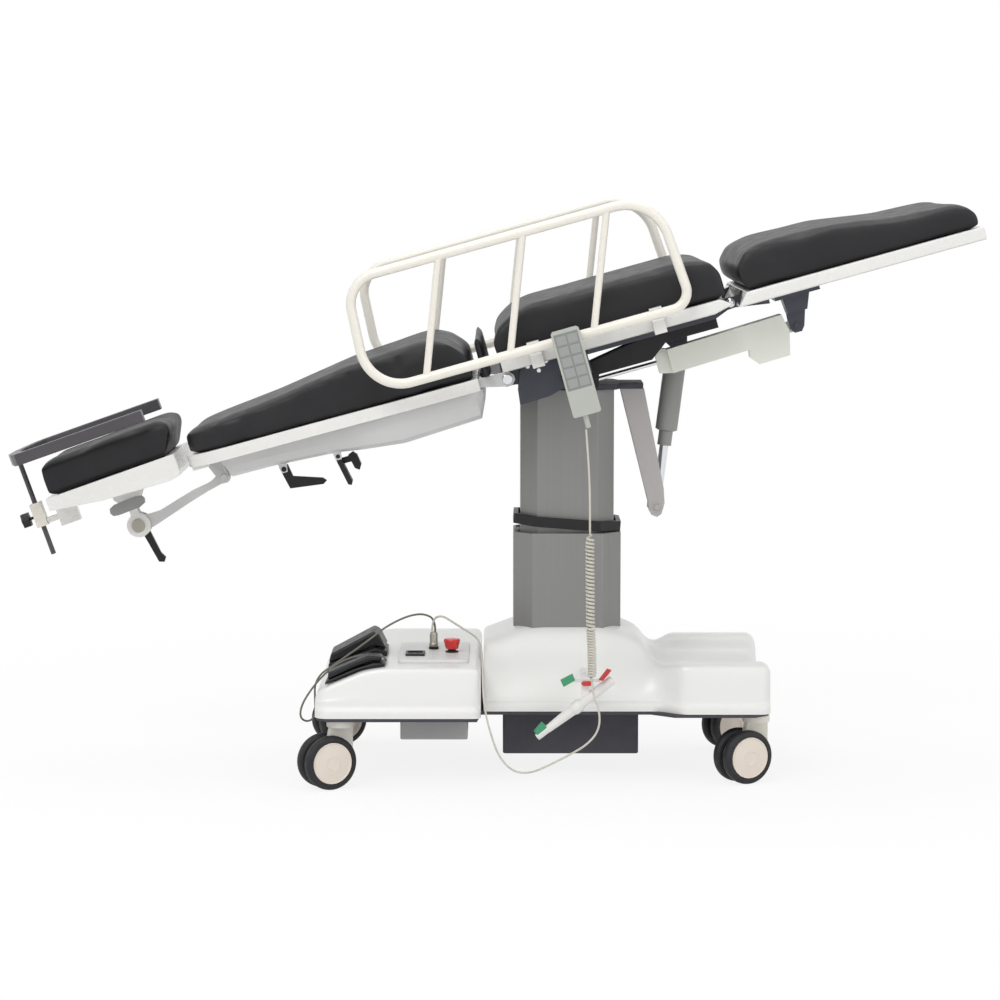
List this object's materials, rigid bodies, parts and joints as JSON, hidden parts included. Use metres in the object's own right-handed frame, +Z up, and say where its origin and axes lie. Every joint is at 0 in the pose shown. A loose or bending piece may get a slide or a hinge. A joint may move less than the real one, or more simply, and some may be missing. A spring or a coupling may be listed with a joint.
{
  "type": "operating table",
  "caption": "Electric operating table on casters with tilted bed, hinged head, back and leg sections, folding side rails, lifting column, hand control and foot switches",
  "frame": {"origin": "On the floor, below the axis of the lifting column", "axes": "+X towards the foot end, -Y towards the side with the hand control, +Z up"},
  "size_m": [1.9086, 0.6255, 1.1395],
  "materials": {
    "white_cover": "smooth gloss",
    "dark_chassis": "satin paint",
    "grey_extrusion": "brushed",
    "black_plastic": "matt",
    "red_button": "gloss",
    "brake_grip": "moulded grip",
    "cream_enamel": "powder coat",
    "blue_grey_satin": "satin paint",
    "silver_shroud": "satin",
    "steel_chrome": "polished",
    "black_upholstery": "matt upholstery vinyl",
    "caster_tyre": "moulded",
    "control_case": "fine matt"
  },
  "bodies": {
    "base": {"chassis": "dark_chassis", "left_cover": "white_cover", "main_cover": "white_cover", "control_panel": "white_cover", "panel_fittings": "black_plastic", "lower_column": "grey_extrusion", "column_ring": "black_plastic", "under_boxes": "dark_chassis", "cord_plug": "black_plastic", "base_lead": "black_plastic", "foot_cord": "black_plastic", "foot_switch_bases": "black_plastic", "curly_cord": "black_plastic"},
    "stop_button": {"stop_button": "red_button"},
    "near_foot_pedal": {"near_foot_pedal": "black_plastic"},
    "far_foot_pedal": {"far_foot_pedal": "black_plastic"},
    "brake_lever": {"brake_lever": "cream_enamel", "brake_pads": "brake_grip"},
    "column": {"upper_column": "grey_extrusion", "column_head": "blue_grey_satin", "torque_arms": "cream_enamel", "hand_lead": "black_plastic"},
    "tilt_rod": {"tilt_rod": "steel_chrome"},
    "tilt_housing": {"tilt_housing": "cream_enamel"},
    "table_top": {"seat_tray": "cream_enamel", "seat_cushion": "black_upholstery", "seat_frame": "blue_grey_satin", "cheek_plates": "blue_grey_satin", "hinge_pins": "steel_chrome", "hand_control": "control_case"},
    "near_rail": {"near_side_rail": "cream_enamel"},
    "far_rail": {"far_side_rail": "cream_enamel"},
    "back_section": {"back_tray": "cream_enamel", "back_cushion": "black_upholstery", "gap_roll": "black_upholstery", "back_shroud": "silver_shroud", "back_brackets": "blue_grey_satin"},
    "back_release_handle": {"back_release_handle": "black_plastic"},
    "back_hook_lever": {"back_hook_lever": "black_plastic"},
    "head_arm": {"head_arm": "silver_shroud"},
    "head_section": {"head_tray": "cream_enamel", "head_cushion": "black_upholstery", "wrist_clamp": "black_plastic"},
    "head_lock_lever": {"head_lock_lever": "black_plastic"},
    "head_lock_knob": {"head_lock_knob": "black_plastic"},
    "wrist_clamp_knob": {"wrist_clamp_knob": "black_plastic"},
    "wrist_bar": {"wrist_bar": "blue_grey_satin"},
    "leg_section": {"leg_tray": "cream_enamel", "leg_cushion": "black_upholstery", "leg_brackets": "blue_grey_satin"},
    "leg_drive_housing": {"leg_drive_housing": "cream_enamel"},
    "leg_drive_rods": {"leg_drive_rods": "steel_chrome"},
    "near_left_caster": {"near_left_caster_housing": "cream_enamel"},
    "near_left_wheels": {"near_left_wheels": "caster_tyre"},
    "far_left_caster": {"far_left_caster_housing": "cream_enamel"},
    "far_left_wheels": {"far_left_wheels": "caster_tyre"},
    "near_right_caster": {"near_right_caster_housing": "cream_enamel"},
    "near_right_wheels": {"near_right_wheels": "caster_tyre"},
    "far_right_caster": {"far_right_caster_housing": "cream_enamel"},
    "far_right_wheels": {"far_right_wheels": "caster_tyre"}
  },
  "joints": [
    {"name": "column_lift", "type": "slide", "parent": "base", "child": "column", "axis": [0, 0, 1], "range_m": [-0.2, 0.03], "deforming": ["curly_cord"]},
    {"name": "bed_tilt", "type": "hinge", "parent": "column", "child": "table_top", "pos_m": [0, 0, 0.798], "axis": [0, -1, 0], "range_deg": [-20.5, 4.5], "deforming": ["hand_lead"]},
    {"name": "tilt_drive_swing", "type": "hinge", "parent": "column", "child": "tilt_rod", "pos_m": [0.18, 0, 0.527], "axis": [0, -1, 0], "range_deg": [-6, 3]},
    {"name": "tilt_drive_stroke", "type": "slide", "parent": "tilt_rod", "child": "tilt_housing", "axis": [0.1261, 0, 0.992], "range_m": [-0.1, 0.03]},
    {"name": "back_raise", "type": "hinge", "parent": "table_top", "child": "back_section", "pos_m": [-0.119, 0, 0.79302], "axis": [0, 1, 0], "range_deg": [-8, 10]},
    {"name": "leg_raise", "type": "hinge", "parent": "table_top", "child": "leg_section", "pos_m": [0.31347, 0, 0.93993], "axis": [0, -1, 0], "range_deg": [-60, 8]},
    {"name": "leg_drive_swing", "type": "hinge", "parent": "leg_section", "child": "leg_drive_housing", "pos_m": [0.4454, -0.125, 0.89454], "axis": [0, -1, 0], "range_deg": [-8, 50]},
    {"name": "leg_drive_stroke", "type": "slide", "parent": "leg_drive_housing", "child": "leg_drive_rods", "axis": [0.9636, 0, 0.2672], "range_m": [-0.02, 0.13]},
    {"name": "near_rail_fold", "type": "hinge", "parent": "table_top", "child": "near_rail", "pos_m": [-0.0784, -0.29, 0.85616], "axis": [0.9636, 0, 0.2672], "range_deg": [0, 160]},
    {"name": "far_rail_fold", "type": "hinge", "parent": "table_top", "child": "far_rail", "pos_m": [-0.0784, 0.29, 0.85616], "axis": [-0.9636, 0, -0.2672], "range_deg": [0, 160]},
    {"name": "head_arm_swing", "type": "hinge", "parent": "back_section", "child": "head_arm", "pos_m": [-0.68601, 0, 0.58492], "axis": [0, 1, 0], "range_deg": [-30, 0]},
    {"name": "head_tilt", "type": "hinge", "parent": "head_arm", "child": "head_section", "pos_m": [-0.85723, 0, 0.48763], "axis": [0, -1, 0], "range_deg": [0, 30]},
    {"name": "wrist_bar_height", "type": "slide", "parent": "head_section", "child": "wrist_bar", "axis": [-0.3338, 0, 0.9426], "range_m": [-0.02, 0.06]},
    {"name": "head_lock_lever_turn", "type": "hinge", "parent": "head_section", "child": "head_lock_lever", "pos_m": [-0.85723, 0, 0.48763], "axis": [0, -1, 0], "range_deg": [-20, 20]},
    {"name": "head_lock_knob_turn", "type": "hinge", "parent": "head_section", "child": "head_lock_knob", "pos_m": [-0.87858, -0.06, 0.52993], "axis": [0, -1, 0], "continuous": true},
    {"name": "clamp_knob_turn", "type": "hinge", "parent": "head_section", "child": "wrist_clamp_knob", "pos_m": [-1.08511, 0, 0.49604], "axis": [0.9426, 0, 0.3338], "continuous": true},
    {"name": "release_handle_pull", "type": "hinge", "parent": "back_section", "child": "back_release_handle", "pos_m": [-0.45075, -0.128, 0.63844], "axis": [0, -1, 0], "range_deg": [-15, 0], "stiffness_Nm_per_rad": 1},
    {"name": "hook_lever_swing", "type": "hinge", "parent": "back_section", "child": "back_hook_lever", "pos_m": [-0.56061, -0.08, 0.60797], "axis": [0, -1, 0], "range_deg": [0, 12], "stiffness_Nm_per_rad": 1},
    {"name": "stop_press", "type": "slide", "parent": "base", "child": "stop_button", "axis": [0, 0, -1], "range_m": [0, 0.003], "stiffness_N_per_m": 2000},
    {"name": "near_pedal_press", "type": "hinge", "parent": "base", "child": "near_foot_pedal", "pos_m": [-0.469, -0.221, 0.212], "axis": [0, 1, 0], "range_deg": [0, 2], "stiffness_Nm_per_rad": 20},
    {"name": "far_pedal_press", "type": "hinge", "parent": "base", "child": "far_foot_pedal", "pos_m": [-0.473, -0.068, 0.2243], "axis": [0, 1, 0], "range_deg": [0, 2], "stiffness_Nm_per_rad": 20},
    {"name": "brake_rock", "type": "hinge", "parent": "base", "child": "brake_lever", "pos_m": [0.031, -0.2, 0.215], "axis": [0, 1, 0], "range_deg": [-10, 10]},
    {"name": "near_left_swivel", "type": "hinge", "parent": "base", "child": "near_left_caster", "pos_m": [-0.444, -0.236, 0.11], "axis": [0, 0, 1], "continuous": true},
    {"name": "near_left_roll", "type": "hinge", "parent": "near_left_caster", "child": "near_left_wheels", "pos_m": [-0.47049, -0.25008, 0.053], "axis": [0.4695, -0.8829, 0], "continuous": true},
    {"name": "far_left_swivel", "type": "hinge", "parent": "base", "child": "far_left_caster", "pos_m": [-0.444, 0.236, 0.11], "axis": [0, 0, 1], "continuous": true},
    {"name": "far_left_roll", "type": "hinge", "parent": "far_left_caster", "child": "far_left_wheels", "pos_m": [-0.47049, 0.22192, 0.053], "axis": [0.4695, -0.8829, 0], "continuous": true},
    {"name": "near_right_swivel", "type": "hinge", "parent": "base", "child": "near_right_caster", "pos_m": [0.369, -0.178, 0.11], "axis": [0, 0, 1], "continuous": true},
    {"name": "near_right_roll", "type": "hinge", "parent": "near_right_caster", "child": "near_right_wheels", "pos_m": [0.34251, -0.19208, 0.053], "axis": [0.4695, -0.8829, 0], "continuous": true},
    {"name": "far_right_swivel", "type": "hinge", "parent": "base", "child": "far_right_caster", "pos_m": [0.369, 0.178, 0.11], "axis": [0, 0, 1], "continuous": true},
    {"name": "far_right_roll", "type": "hinge", "parent": "far_right_caster", "child": "far_right_wheels", "pos_m": [0.34251, 0.16392, 0.053], "axis": [0.4695, -0.8829, 0], "continuous": true}
  ],
  "couplings": [
    {"joint": "tilt_drive_swing", "follows": "bed_tilt", "ratio": 0.17},
    {"joint": "tilt_drive_stroke", "follows": "bed_tilt", "m_per_rad": 0.222},
    {"joint": "leg_drive_swing", "follows": "leg_raise", "ratio": -0.775},
    {"joint": "leg_drive_stroke", "follows": "leg_raise", "m_per_rad": -0.108}
  ]
}
